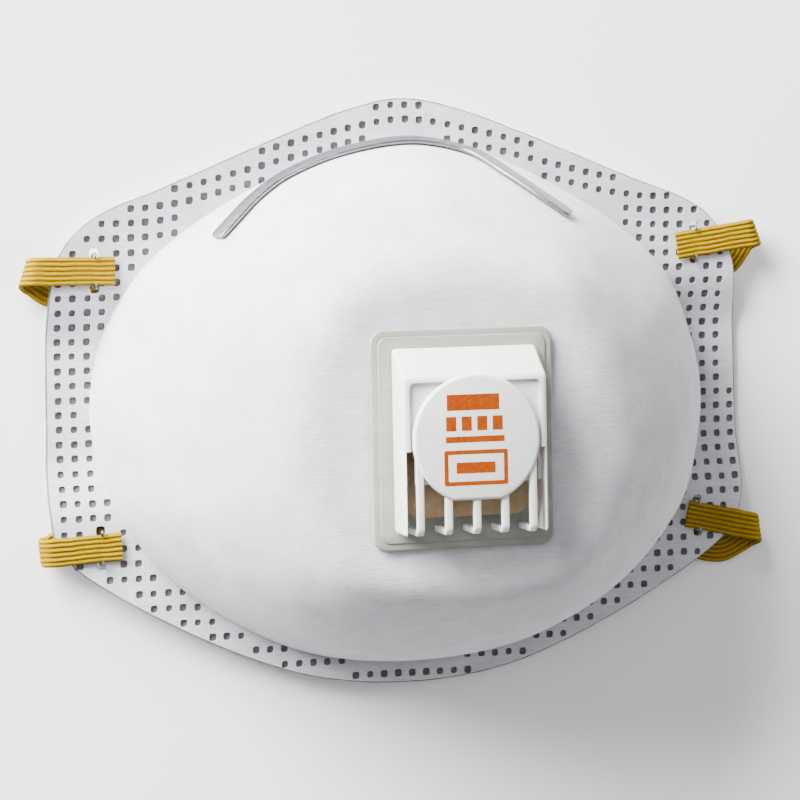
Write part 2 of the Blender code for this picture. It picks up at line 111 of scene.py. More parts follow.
def rim_height(y):
    rise = NOSE_RISE if y > 0 else CHIN_RISE
    past = abs(y) - CHEEK_FLAT
    return (STRAP_RISE * smooth(past / STRAP_RISE_RUN)
            + rise * smooth((past - STRAP_RISE_RUN) / END_RISE_RUN))


def through(points, steps):
    """A smooth open curve through the points, with steps pieces between each two."""
    p = [Vector(q) for q in points]
    p = [2 * p[0] - p[1], *p, 2 * p[-1] - p[-2]]
    curve = []
    for i in range(1, len(p) - 2):
        a, b, c, d = p[i - 1:i + 3]
        for k in range(steps):
            t = k / steps
            curve.append(0.5 * (2 * b + (c - a) * t + (2 * a - 5 * b + 4 * c - d) * t**2
                                + (3 * b - a - 3 * c + d) * t**3))
    return [*curve, p[-2]]


def outline_curve(half):
    """The right half of a closed outline, from the nose round to the chin, in metres."""
    mirrored = [(-half[1][0], half[1][1]), *half, (-half[-2][0], half[-2][1])]
    curve = through([(x * MM, y * MM, 0) for x, y in mirrored], 8)
    return [q for q in curve if q.x > -1e-9]


def outline_radius(half):
    curve = outline_curve(half)
    angles = [math.atan2(q.y, q.x) for q in curve][::-1]
    radii = [math.hypot(q.x, q.y) for q in curve][::-1]

    def radius(angle):
        x, y = abs(math.cos(angle)), math.sin(angle)
        return float(np.interp(math.atan2(y, x), angles, radii))

    return radius


rim_radius = outline_radius(RIM_OUTLINE)
crease_radius = outline_radius(CREASE_OUTLINE)


def on_rim(x, y):
    return Vector((x, y, rim_height(y) + RIM_TOP))


def plateau_point(angle):
    a, b = (side / 2 + PLATEAU_MARGIN for side in SEAT_SIZE)
    c, s = math.cos(angle), math.sin(angle)
    r = (abs(c / a)**6 + abs(s / b)**6)**(-1 / 6)
    return Vector((r * c, VALVE_Y + r * s, CUP_HEIGHT))


def cup_point(angle, share):
    """On the cup wall: share 0 is the crease, 1 the edge of the flat under the valve."""
    turn = CUP_START + (math.pi / 2 - CUP_START) * share
    out = math.cos(turn) / math.cos(CUP_START)
    up = (math.sin(turn) - math.sin(CUP_START)) / (1 - math.sin(CUP_START))
    r = crease_radius(angle)
    low = on_rim(r * math.cos(angle), r * math.sin(angle))
    low.z += CREASE_STEP
    top = plateau_point(angle)
    x, y = top.x + (low.x - top.x) * out, top.y + (low.y - top.y) * out
    return Vector((x, y, low.z + (top.z - low.z) * up))


def cup_normal(angle, share):
    step = 0.01
    a = cup_point(angle + step, share) - cup_point(angle - step, share)
    b = cup_point(angle, min(share + step, 1)) - cup_point(angle, max(share - step, 0))
    return a.cross(b).normalized()


# ---------------------------------------------------------------- mesh helpers


def new_object(name, mesh):
    made = bpy.data.objects.new(name, mesh)
    bpy.context.scene.collection.objects.link(made)
    return made


def mesh_from(name, vertices, faces, sharp=math.radians(40)):
    mesh = bpy.data.meshes.new(name)
    mesh.from_pydata([tuple(v) for v in vertices], [], faces)
    bm = bmesh.new()
    bm.from_mesh(mesh)
    bmesh.ops.recalc_face_normals(bm, faces=bm.faces)
    bm.to_mesh(mesh)
    bm.free()
    soften(mesh, sharp)
    return mesh


def soften(mesh, sharp=math.radians(40)):
    mesh.shade_smooth()
    mesh.set_sharp_from_angle(angle=sharp)


def looped_rings(rings):
    """Vertices and faces of a closed body: rings of points that come back to the first ring."""
    count, around = len(rings), len(rings[0])
    faces = [
        (i * around + j, i * around + (j + 1) % around,
         (i + 1) % count * around + (j + 1) % around, (i + 1) % count * around + j)
        for i in range(count) for j in range(around)
    ]
    return [q for ring in rings for q in ring], faces


def swept(sections):
    """Vertices and faces of a closed sweep: like sections one after another, with both ends capped."""
    around, last = len(sections[0]), len(sections) - 1
    faces = [
        (i * around + j, i * around + (j + 1) % around, (i + 1) * around + (j + 1) % around,
         (i + 1) * around + j)
        for i in range(last) for j in range(around)
    ]
    faces += [tuple(range(around))[::-1], tuple(last * around + j for j in range(around))]
    return [q for section in sections for q in section], faces


def apply_modifiers(obj):
    done = bpy.data.meshes.new_from_object(obj.evaluated_get(bpy.context.evaluated_depsgraph_get()))
    obj.modifiers.clear()
    obj.data = done
    return obj


def boolean(obj, tool, operation):
    made = obj.modifiers.new(operation, "BOOLEAN")
    made.operation = operation
    made.solver = "EXACT"
    made.object = tool
    apply_modifiers(obj)
    bpy.data.objects.remove(tool)


def bevelled(obj, width, segments=3):
    made = obj.modifiers.new("bevel", "BEVEL")
    made.width = width
    made.segments = segments
    made.limit_method = "ANGLE"
    made.angle_limit = math.radians(30)
    apply_modifiers(obj)
    return obj


def prism(name, outline, low, high, axis="Z"):
    """An outline of (u, v) points extruded from low to high along an axis: Z takes (x, y), X takes (y, z)."""
    place = (lambda u, v, w: (u, v, w)) if axis == "Z" else (lambda u, v, w: (w, u, v))
    sections = [[Vector(place(u, v, w)) for u, v in outline] for w in (low, high)]
    return new_object(name, mesh_from(name, *swept(sections)))


def rounded_rectangle(size, corner, centre=(0, 0), steps=6):
    points = []
    for quarter in range(4):
        sx = 1 if quarter in (0, 3) else -1
        sy = 1 if quarter in (0, 1) else -1
        for k in range(steps + 1):
            a = math.pi / 2 * (quarter + k / steps)
            points.append((centre[0] + sx * (size[0] / 2 - corner) + corner * math.cos(a),
                           centre[1] + sy * (size[1] / 2 - corner) + corner * math.sin(a)))
    return points


def circle(radius, centre=(0, 0), steps=72):
    return [(centre[0] + radius * math.cos(2 * math.pi * k / steps),
             centre[1] + radius * math.sin(2 * math.pi * k / steps)) for k in range(steps)]


def box_of(name, x, y, z):
    return prism(name, [(x[0], y[0]), (x[1], y[0]), (x[1], y[1]), (x[0], y[1])], z[0], z[1])


def finish_piece(obj, material, slot, body, *nodes):
    obj.data.materials.clear()
    obj.data.materials.append(material)
    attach(obj, body)
    if nodes:
        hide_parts(*nodes)
    return obj


# ---------------------------------------------------------------- materials


class Nodes:
    """A short way to build a material's node tree."""

    def __init__(self, name):
        self.material = bpy.data.materials.new(name)
        self.material.use_nodes = True
        self.tree = self.material.node_tree
        self.shader = self.tree.nodes["Principled BSDF"]
        self.place = self.add("ShaderNodeTexCoord").outputs["Object"]

    def add(self, kind, **settings):
        node = self.tree.nodes.new(kind)
        for key, value in settings.items():
            setattr(node, key, value)
        return node

    def link(self, a, b):
        self.tree.links.new(a, b)

    def mapped(self, scale, turn=(0, 0, 0), source=None):
        node = self.add("ShaderNodeMapping")
        node.inputs["Scale"].default_value = scale
        node.inputs["Rotation"].default_value = [math.radians(a) for a in turn]
        self.link(source or self.place, node.inputs["Vector"])
        return node.outputs["Vector"]

    def noise(self, scale, detail=4, rough=0.55, vector=None):
        node = self.add("ShaderNodeTexNoise")
        node.inputs["Scale"].default_value = scale
        node.inputs["Detail"].default_value = detail
        node.inputs["Roughness"].default_value = rough
        self.link(vector or self.place, node.inputs["Vector"])
        return node.outputs["Fac"]

    def voronoi(self, scale, feature="F1", vector=None):
        node = self.add("ShaderNodeTexVoronoi", feature=feature)
        node.inputs["Scale"].default_value = scale
        self.link(vector or self.place, node.inputs["Vector"])
        return node.outputs["Distance"]

    def math(self, operation, a, b=None):
        node = self.add("ShaderNodeMath", operation=operation)
        for socket, value in zip(node.inputs, (a, b)):
            if isinstance(value, (int, float)):
                socket.default_value = value
            elif value is not None:
                self.link(value, socket)
        return node.outputs[0]

    def ramp(self, value, *stops):
        node = self.add("ShaderNodeValToRGB")
        ramp = node.color_ramp
        while len(ramp.elements) < len(stops):
            ramp.elements.new(0.5)
        for element, (at, colour) in zip(ramp.elements, stops):
            element.position = at
            element.color = (*colour, 1) if len(colour) == 3 else colour
        self.link(value, node.inputs["Fac"])
        return node.outputs["Color"]

    def grey(self, value, low, high, start=0.0, end=1.0):
        """value mapped from start..end to low..high."""
        node = self.add("ShaderNodeMapRange")
        for key, number in zip(("From Min", "From Max", "To Min", "To Max"), (start, end, low, high)):
            node.inputs[key].default_value = number
        self.link(value, node.inputs["Value"])
        return node.outputs["Result"]

    def bump(self, height, distance, strength=1.0, normal=None):
        node = self.add("ShaderNodeBump")
        node.inputs["Strength"].default_value = strength
        node.inputs["Distance"].default_value = distance
        self.link(height, node.inputs["Height"])
        if normal:
            self.link(normal, node.inputs["Normal"])
        return node.outputs["Normal"]

    def set(self, **values):
        for key, value in values.items():
            socket = self.shader.inputs[key.replace("_", " ")]
            if isinstance(value, bpy.types.NodeSocket):
                self.link(value, socket)
            else:
                socket.default_value = value
        return self


def fibres(n, length_scale, width_scale):
    """Crossing fibres: noise stretched along three directions, the strongest on top."""
    layers = [n.noise(1, 2, 0.5, n.mapped((length_scale, width_scale, width_scale), (0, 0, turn)))
              for turn in (12, 71, 128)]
    top = n.math("MAXIMUM", layers[0], layers[1])
    return n.math("MAXIMUM", top, layers[2])


def make_web_material(name, colour_low, colour_high):
    n = Nodes(name)
    web = fibres(n, 260, 2600)
    mottle = n.noise(160, 5, 0.6)
    cloud = n.noise(38, 3, 0.5)
    tone = n.math("ADD", n.math("MULTIPLY", web, 0.45), n.math("MULTIPLY", mottle, 0.35))
    tone = n.math("ADD", tone, n.math("MULTIPLY", cloud, 0.2))
    n.set(Base_Color=n.ramp(tone, (0.36, colour_low), (0.62, colour_high)), Roughness=n.grey(web, 0.95, 0.75))
    rough = n.bump(mottle, 0.00025, 0.55)
    n.set(Normal=n.bump(web, 0.00012, 0.7, rough))
    n.set(Sheen_Weight=0.12, Sheen_Roughness=0.5, Subsurface_Weight=0.12, Subsurface_Scale=0.002)
    n.set(Specular_IOR_Level=0.25)
    return n.material


def make_bonded_shade_material():
    """Fibres fused to a thin glassy film. The film is real, but its near-black tone is painted shade,
    standing for the shade in the deep bonded dimples and along the rim's edge.
    """
    n = Nodes("bonded_film_painted_shade")
    patches = n.noise(900, 4, 0.6)
    n.set(Base_Color=n.ramp(patches, (0.3, (0.06, 0.06, 0.065)), (0.7, (0.14, 0.14, 0.145))),
          Roughness=n.grey(patches, 0.35, 0.6))
    n.set(Normal=n.bump(patches, 0.00006, 0.6))
    return n.material


def make_aluminium():
    n = Nodes("rolled_aluminium")
    streaks = n.noise(1, 3, 0.6, n.mapped((90, 3200, 3200), (0, 0, 8)))
    dents = n.noise(140, 3, 0.5)
    n.set(Base_Color=n.ramp(streaks, (0.3, (0.15, 0.155, 0.165)), (0.7, (0.30, 0.31, 0.325))),
          Roughness=n.grey(streaks, 0.24, 0.42), Metallic=1.0)
    n.set(Normal=n.bump(streaks, 0.00003, 0.4, n.bump(dents, 0.0004, 0.35)))
    return n.material


def make_steel():
    n = Nodes("staple_wire")
    scratches = n.noise(1, 3, 0.6, n.mapped((3000, 300, 3000)))
    n.set(Base_Color=n.ramp(scratches, (0.3, (0.10, 0.10, 0.11)), (0.7, (0.26, 0.26, 0.27))),
          Roughness=n.grey(scratches, 0.18, 0.38), Metallic=1.0)
    n.set(Normal=n.bump(scratches, 0.00003, 0.4))
    return n.material


def make_elastic():
    """Braided elastic: the band's own UVs run along it (u, in bands) and across it (v, 0 to 1)."""
    n = Nodes("yellow_elastic")
    uv = n.add("ShaderNodeUVMap", uv_map="band").outputs["UV"]
    parts = n.add("ShaderNodeSeparateXYZ")
    n.link(uv, parts.inputs[0])
    along, across = parts.outputs["X"], parts.outputs["Y"]
    rib = n.math("ABSOLUTE", n.math("SINE", n.math("MULTIPLY", across, 6 * math.pi)))
    slant = n.math("ADD", n.math("MULTIPLY", along, 34), n.math("MULTIPLY", across, 21))
    stitch = n.math("ABSOLUTE", n.math("SINE", slant))
    wander = n.noise(900, 4, 0.6)
    weave_relief_and_shade = n.math("MULTIPLY", n.grey(rib, 0.25, 1.0), n.grey(stitch, 0.65, 1.0))
    tone = n.math("ADD", n.math("MULTIPLY", weave_relief_and_shade, 0.75), n.math("MULTIPLY", wander, 0.3))
    # The grooves between the ribs and the gaps between stitches are painted dark: painted shade in the
    # weave's hollows, with the wander as the yarn's own uneven tone.
    n.set(Base_Color=n.ramp(tone, (0.18, (0.07, 0.024, 0.0)), (0.5, (0.20, 0.11, 0.0)),
                            (0.85, (0.33, 0.215, 0.0))),
          Roughness=n.grey(wander, 0.7, 0.95))
    n.set(Normal=n.bump(weave_relief_and_shade, 0.00022, 0.8, n.bump(wander, 0.0001, 0.5)), Specular_IOR_Level=0.06)
    return n.material


def make_foam_material():
    n = Nodes("open_cell_foam")
    cell_pits_and_shade = n.voronoi(1700)
    patches = n.noise(200, 3, 0.5)
    # The pits at the cells' middles are painted dark: painted shade in the open cells.
    n.set(Base_Color=n.ramp(cell_pits_and_shade, (0.0, (0.34, 0.34, 0.33)), (0.45, (0.70, 0.70, 0.68))),
          Roughness=n.grey(patches, 0.85, 1.0))
    n.set(Normal=n.bump(cell_pits_and_shade, 0.0004, 0.9, n.bump(patches, 0.0003, 0.4)))
    return n.material


def make_plastic(name, low, high, gloss, subsurface):
    n = Nodes(name)
    grain = n.noise(2600, 3, 0.5)
    flow = n.noise(1, 3, 0.5, n.mapped((60, 320, 200), (0, 0, 14)))
    n.set(Base_Color=n.ramp(flow, (0.3, low), (0.7, high)),
          Roughness=n.grey(flow, gloss - 0.05, gloss + 0.08))
    n.set(Normal=n.bump(grain, 0.00002, 0.35, n.bump(flow, 0.0001, 0.25)))
    n.set(Subsurface_Weight=subsurface, Subsurface_Scale=0.0015, IOR=1.49)
    return n.material


def make_rubber():
    n = Nodes("tan_rubber")
    bloom = n.noise(260, 5, 0.6)
    fine = n.noise(3000, 2, 0.5)
    n.set(Base_Color=n.ramp(bloom, (0.3, (0.30, 0.20, 0.10)), (0.7, (0.46, 0.33, 0.18))),
          Roughness=n.grey(bloom, 0.45, 0.7))
    n.set(Normal=n.bump(fine, 0.00003, 0.4))
    return n.material


def make_ink():
    n = Nodes("orange_ink")
    worn = n.noise(1800, 4, 0.65)
    n.set(Base_Color=n.ramp(worn, (0.3, (0.20, 0.030, 0.0)), (0.65, (0.30, 0.050, 0.0))),
          Roughness=n.grey(worn, 0.35, 0.55))
    n.set(Normal=n.bump(worn, 0.00002, 0.3), Specular_IOR_Level=0.15)
    return n.material


def make_floor_material():
    n = Nodes("pale_floor")
    haze = n.noise(6, 3, 0.5)
    n.set(Base_Color=n.ramp(haze, (0.3, (0.94, 0.94, 0.94)), (0.7, (0.96, 0.96, 0.96))),
          Roughness=n.grey(haze, 0.75, 0.9))
    return n.material


# ---------------------------------------------------------------- straps

STRAP_WIDE, STRAP_THICK = 5.5 * MM, 0.9 * MM
STAPLE_X = 60.0 * MM
RETURN_Z = 1.45 * MM  # height of the band's middle where it lies under the rim
# for each end: y at the staple in mm, x of the cut end and of the fold, how far the run out to the fold
# climbs towards the nose and how far the fold's chin end leans outwards, both in degrees
STRAP_ENDS = {
    ("upper_strap", -1): (25.0, 56.2, 72.9, 1, 19),
    ("upper_strap", 1): (27.3, 56.2, 73.4, 8, 19),
    ("lower_strap", -1): (-27.8, 56.2, 71.4, -3, -5),
    ("lower_strap", 1): (-26.9, 57.6, 73.3, -13, 7),
}
# from the left fold to the right one in mm: under the rim, across the cup, and under the rim again
UPPER_ROUTE = [(-66.5, 20.6), (-57, 21.2), (-46, 23.6), (-40, 22.8), (-35, 19.5), (-30, 13.5), (-22.5, 12.5),
               (-18, 18), (-15.5, 25), (-9, 30), (-1.5, 27.5), (1.5, 20.5), (5, 13.5), (12, 10.5), (18.5, 14),
               (22, 20.5), (28, 24.5), (34, 22), (39.5, 22.5), (46, 24.2), (57, 23), (67, 22.8)]
LOWER_ROUTE = [(-66, -26.6), (-57, -25.8), (-46, -25.4), (-40, -24), (-35, -19.5), (-29.5, -14),
               (-23, -12), (-17, -16), (-14.5, -23.5), (-10, -30), (-3, -32), (3.5, -28.5), (6, -21),
               (10, -14), (17, -10.5), (24, -13.5), (28, -20), (33.5, -23.5), (39.5, -24.5), (46, -26.8),
               (56, -31), (65, -34.2)]
FLAT_STRETCHES, TWIST_STRETCHES = 3.67, 2.67  # how many route stretches lie flat, then twist on edge
STRAP_LIFT = 0.3 * MM
ROUTE_STEPS = 12
STAPLE_WIRE = 0.5 * MM
STAPLE_LEG_Y = STRAP_WIDE / 2 + GAP + STAPLE_WIRE / 2  # the legs stand just outside the band's edges
BAND_RIBS = 6
BAND_ACROSS = 36  # pieces from edge to edge of one face
BAND_EDGE = 0.999  # past this share of the half width both faces meet in one point
PINCH, PINCH_REACH = 0.2, 1.1 * MM  # how much a staple thins the band, and how far along it


def strap_top(y):
    """Height of the band's middle where it lies on the rim."""
    return rim_height(y) + RIM_TOP + GAP + STRAP_THICK / 2


def strap_end(strap, hand, turn_steps=20, run_steps=22):
    """One end from its cut to the end of its fold: centres, width directions and thickness directions."""
    row, cut_x, fold_x, climb, lean = STRAP_ENDS[strap, hand]
    row, cut_x, fold_x = row * MM, cut_x * MM, fold_x * MM
    climb, lean = math.radians(climb), math.radians(lean)
    outward = Vector((hand * math.cos(climb), math.sin(climb), 0))
    across = Vector((-outward.y, outward.x, 0)) * hand
    normal = Vector((hand * math.cos(lean), math.sin(lean), 0))  # square to the fold's line
    line = Vector((hand * math.sin(lean), -math.cos(lean), 0))
    top = strap_top(row)
    turn_r = (top - RETURN_Z) / 2
    staple = Vector((hand * STAPLE_X, row, top))
    spots = []
    for k in range(run_steps):
        x = cut_x + (fold_x - turn_r - cut_x) * k / run_steps
        spots.append((staple + outward * (x - STAPLE_X), across, Vector((0, 0, 1))))
    start = staple + outward * (fold_x - turn_r - STAPLE_X)
    square, slide = outward.dot(normal), outward.dot(line)
    for k in range(turn_steps + 1):
        a = math.pi * k / turn_steps
        up = normal * math.sin(a) + Vector((0, 0, 1)) * math.cos(a)
        round_it = normal * (turn_r * math.sin(a)) + Vector((0, 0, turn_r * (math.cos(a) - 1)))
        along = (normal * math.cos(a) - Vector((0, 0, 1)) * math.sin(a)) * square + line * slide
        spots.append((start + round_it + line * (turn_r * a * slide / square), up.cross(along) * hand, up))
    return spots


def strap_path(strap):
    """The whole strap from its left end to its right: centres, width directions and thickness directions."""
    left, right = strap_end(strap, -1), strap_end(strap, 1)
    folds = [[(end[-1][0].x / MM, end[-1][0].y / MM)] for end in (left, right)]
    route = folds[0] + (UPPER_ROUTE if strap == "upper_strap" else LOWER_ROUTE) + folds[1]
    free = through([(x * MM, y * MM, 0) for x, y in route], ROUTE_STEPS)
    stand = STRAP_WIDE / 2 + STRAP_LIFT
    spots = list(left)
    for i, q in enumerate(free[1:-1], 1):
        from_end = min(i, len(free) - 1 - i) / ROUTE_STEPS
        twist = smooth((from_end - FLAT_STRETCHES) / TWIST_STRETCHES)
        along = (free[i + 1] - free[i - 1]).normalized()
        across = Vector((-along.y, along.x, 0))
        turn = math.pi / 2 * twist
        side = across * math.cos(turn) + Vector((0, 0, 1)) * math.sin(turn)
        up = across * math.sin(turn) - Vector((0, 0, 1)) * math.cos(turn)
        z = max(RETURN_Z + (stand - RETURN_Z) * twist, math.sin(turn) * STRAP_WIDE / 2 + STRAP_LIFT
                + math.cos(turn) * STRAP_THICK / 2)
        spots.append((Vector((q.x, q.y, z)), side, up))
    return spots + right[::-1]


def band_section(centre, side, up, wide, thick, sway):
    """A braided band's section: rounded edges and lengthwise ribs on both faces, which sway a little."""
    ring = []
    for face in (1, -1):
        for k in range(BAND_ACROSS + 1):
            v = (-1 + 2 * k / BAND_ACROSS) * face
            rib = 0.62 + 0.38 * abs(math.sin(BAND_RIBS * math.pi * ((v + 1) / 2 + sway * (1 - v * v))))
            edge = (1 - min(abs(v), 1.0)**6)**0.5
            if abs(v) > BAND_EDGE and face < 0:
                continue
            ring.append(centre + side * (v * wide / 2) + up * (face * thick / 2 * rib * edge))
    return ring


def make_strap(name, material):
    spots = strap_path(name)
    travelled, lengths = 0.0, [0.0]
    for (a, _, _), (b, _, _) in zip(spots, spots[1:]):
        travelled += (b - a).length
        lengths.append(travelled)
    to_staple = [STAPLE_X - STRAP_ENDS[name, hand][1] * MM for hand in (-1, 1)]
    sections = []
    for (c, side, up), at in zip(spots, lengths):
        from_staple = min(abs(at - to_staple[0]), abs(travelled - at - to_staple[1]))
        pinch = math.exp(-(from_staple / PINCH_REACH)**2)
        wave = 0.012 * math.sin(at / (1.7 * MM)) + 0.010 * math.sin(at / (0.63 * MM) + 1)
        sway = 0.022 * math.sin(at / (1.35 * MM)) + 0.015 * math.sin(at / (0.52 * MM) + 2)
        wide = STRAP_WIDE * (0.985 - 0.05 * pinch + wave)
        sections.append(band_section(c, side, up, wide, STRAP_THICK * (1 - PINCH * pinch), sway))
    piece = new_object("strap_band_" + name.split("_")[0], mesh_from(name, *swept(sections)))
    add_band_uvs(piece.data, lengths, len(sections[0]))
    finish_piece(piece, material, "elastic", MASK, name)
    return piece


def add_band_uvs(mesh, lengths, around):
    """u runs along the band in band widths, v across it from edge to edge."""
    layer = mesh.uv_layers.new(name="band")
    top = BAND_ACROSS + 1
    for loop in mesh.loops:
        section, k = divmod(loop.vertex_index, around)
        v = k / BAND_ACROSS if k < top else 1 - (k - top + 1) / BAND_ACROSS
        layer.data[loop.index].uv = (lengths[section] / STRAP_WIDE, v)


# ---------------------------------------------------------------- the cup's webs

AROUND = 288
WALL_RINGS = 34
RIM_RINGS = 5
FLAT_RINGS = 6
DOT_PITCH = (2.82 * MM, 2.8 * MM)
DOT_PHASE = (0.24, 0.107)  # where the grid of bonded points starts, in pitches
DOT_SIZE, DOT_CORNER = 1.42 * MM, 0.42 * MM
DOT_MARGIN = 0.8 * MM  # from the rim's edge to the nearest points' middles
DOT_CLEAR = 0.3 * MM  # from the crease to the nearest points' middles
NOSE_DOT_BAND, NOSE_DOTS_REACH = 6.2 * MM, 44 * MM  # at the nose the points keep to this width of the rim
DOT_COLUMNS, DOT_ROWS = range(-25, 26), range(-21, 22)
LEG_CLEAR = 1.7 * MM  # from a staple leg to the nearest points' middles
STAPLE_HOLE, STAPLE_HOLE_CORNER = 1.9 * MM, 0.6 * MM
CUT_LOW, CUT_HIGH, HOLE_HIGH = -1.5 * MM, RIM_TOP + 0.25 * MM, 3.5 * MM  # the cutters' ends above the rim
FILM_THICK, FILM_LAP = 0.12 * MM, 0.5 * MM
BEAD_WIDE, BEAD_CORNER, BEAD_OUT = 0.34 * MM, 0.15 * MM, 0.06 * MM
CHIN_STRETCH, CHIN_FROM = 1.07, -22.1 * MM  # moulding pulls the rows apart below this y
NOSE_SLOPE, NOSE_REACH, NOSE_EASE, NOSE_ROUND = 0.26, 55 * MM, 16 * MM, 7 * MM
PUFF, PUFF_FROM = 1.0 * MM, 0.6  # the outer web stands proud round the valve from this share of the wall


def hollow(angle, share):
    """How far the moulded cup sinks in or stands out by its own softness, in broad shallow waves."""
    waves = (0.10 * math.sin(5 * angle + 1.0) * math.sin(3 * math.pi * share)
             + 0.07 * math.sin(9 * angle + 2.2) * math.sin(5 * math.pi * share + 0.6)
             + 0.05 * math.sin(16 * angle + 0.4) * math.sin(7 * math.pi * share))
    return waves * math.sin(math.pi * share) * MM


def puff(share, below):
    """How far the outer web stands proud of the shell round the valve; the inner web doesn't."""
    rise = max(0.0, share - PUFF_FROM) / (1 - PUFF_FROM)
    return PUFF * math.sin(math.pi * rise)**2 * max(0.0, 1 - below / INNER_WEB_DEPTH)


def web_point(angle, station, below, rim_below):
    """A point of a web: station is 0 at the rim's edge, 1 at the crease and 2 at the flat under the valve."""
    r_rim, r_fold = rim_radius(angle), crease_radius(angle)
    c, s = math.cos(angle), math.sin(angle)
    if station <= 1:
        inward = 1 - 0.55 * below / crease_radius(0) * station
        r = (r_rim + (r_fold - r_rim) * station) * inward
        return on_rim(r * c, r * s) - Vector((0, 0, rim_below))
    share = station - 1
    sink = below + (max(below * 0.75, rim_below) - below) * max(0.0, 1 - share * 7)
    sink += hollow(angle, share) - puff(share, below)
    return cup_point(angle, share) - cup_normal(angle, share) * sink


def make_web(name, depth, rim_depth, thick):
    angles = [2 * math.pi * (j + 0.5) / AROUND for j in range(AROUND)]
    shares = [(k / WALL_RINGS)**1.15 for k in range(WALL_RINGS + 1)]

    def face(below, rim_below):
        stations = [k / RIM_RINGS for k in range(RIM_RINGS + 1)] + [1 + share for share in shares]
        rings = [[web_point(a, station, below, rim_below) for a in angles] for station in stations]
        for k in range(1, FLAT_RINGS + 1):
            part = k / FLAT_RINGS
            ring = []
            for a in angles:
                edge = plateau_point(a)
                hole = Vector((SHELL_HOLE_R * math.cos(a), VALVE_Y + SHELL_HOLE_R * math.sin(a), CUP_HEIGHT))
                ring.append(edge.lerp(hole, part) - Vector((0, 0, below)))
            rings.append(ring)
        return rings

    rings = face(depth, rim_depth) + face(depth + thick, rim_depth + thick)[::-1]
    return new_object(name, mesh_from(name, *looped_rings(rings), sharp=math.radians(50)))


def distance_to(outline, x, y):
    """How far (x, y) is from an outline, in plan."""
    p = np.array([(q.x, q.y) for q in outline])
    a, b = p[:-1], p[1:]
    run = b - a
    share = np.clip(((np.array([abs(x), y]) - a) * run).sum(1) / (run**2).sum(1), 0, 1)
    return float(np.hypot(*(a + share[:, None] * run - [abs(x), y]).T).min())


def staple_legs():
    """(x, y) of every staple leg."""
    return [(hand * STAPLE_X, end[0] * MM + side * STAPLE_LEG_Y)
            for (_, hand), end in STRAP_ENDS.items() for side in (-1, 1)]


def row_height(x, y):
    """Where moulding moves a grid point to: rows arch up to the nose and spread towards the chin."""
    if y < CHIN_FROM:
        return CHIN_FROM + (y - CHIN_FROM) * CHIN_STRETCH
    run = NOSE_REACH - math.hypot(x, NOSE_ROUND)
    if y < 0 or run < 0:
        return y
    return y + NOSE_SLOPE * (run * run / (2 * NOSE_EASE) if run < NOSE_EASE else run - NOSE_EASE / 2)


def dot_places():
    """The middles of the rim's bonded points: a square grid between the rim's edge and the crease."""
    edge, fold = outline_curve(RIM_OUTLINE), outline_curve(CREASE_OUTLINE)
    legs = staple_legs()
    places = []
    for i in DOT_COLUMNS:
        for j in DOT_ROWS:
            x = (i + DOT_PHASE[0]) * DOT_PITCH[0]
            y = row_height(x, (j + DOT_PHASE[1]) * DOT_PITCH[1])
            angle, r = math.atan2(y, x), math.hypot(x, y)
            if not crease_radius(angle) < r < rim_radius(angle):
                continue
            from_edge = distance_to(edge, x, y)
            if from_edge < DOT_MARGIN or distance_to(fold, x, y) < DOT_CLEAR:
                continue
            if y > 0 and abs(x) < NOSE_DOTS_REACH and from_edge > NOSE_DOT_BAND:
                continue
            if any(math.hypot(x - u, y - v) < LEG_CLEAR for u, v in legs):
                continue
            places.append((x, y))
    return places


def stack_of(places, size, corner, low, high, seed):
    """Small rounded squares at the places, each from low to high above the rim's own height there."""
    jitter = random.Random(seed)
    vertices, faces = [], []
    for x, y in places:
        side = size * jitter.uniform(0.9, 1.06)
        x += jitter.uniform(-0.06, 0.06) * MM
        y += jitter.uniform(-0.06, 0.06) * MM
        outline = rounded_rectangle((side, side), corner, (x, y), 2)
        new_v, new_f = swept([[Vector((u, v, rim_height(v) + h)) for u, v in outline] for h in (low, high)])
        faces += [tuple(len(vertices) + k for k in f) for f in new_f]
        vertices += new_v
    return mesh_from("stack", vertices, faces)


def make_webs(outside, inside, bonded_and_shade):
    """Both webs with their bonded points, where the webs are fused to a thin film, and staple holes."""
    places = dot_places()
    outer = make_web("cover_web_outer", 0.0, 0.0, RIM_WEB)
    inner = make_web("face_web_inner", INNER_WEB_DEPTH, RIM_WEB + GAP, RIM_WEB)
    for web in (outer, inner):
        points = new_object("points", stack_of(places, DOT_SIZE, DOT_CORNER, CUT_LOW, CUT_HIGH, 4))
        boolean(web, points, "DIFFERENCE")
        holes = stack_of(staple_legs(), STAPLE_HOLE, STAPLE_HOLE_CORNER, CUT_LOW, HOLE_HIGH, 5)
        boolean(web, new_object("holes", holes), "DIFFERENCE")
        soften(web.data, math.radians(50))
    finish_piece(outer, outside, "white_nonwoven", MASK, "outer_cover_web")
    finish_piece(inner, inside, "white_nonwoven", MASK, "inner_face_web")
    # The film sits halfway down the holes cut at the bonded points; its dark colour is painted shade in the
    # dimples.
    middle = RIM_WEB + GAP / 2
    film = new_object("bonded_points", stack_of(places, DOT_SIZE + FILM_LAP, DOT_CORNER,
                                                middle - FILM_THICK / 2, middle + FILM_THICK / 2, 4))
    finish_piece(film, bonded_and_shade, "white_nonwoven", MASK)
    make_welded_edge(bonded_and_shade)


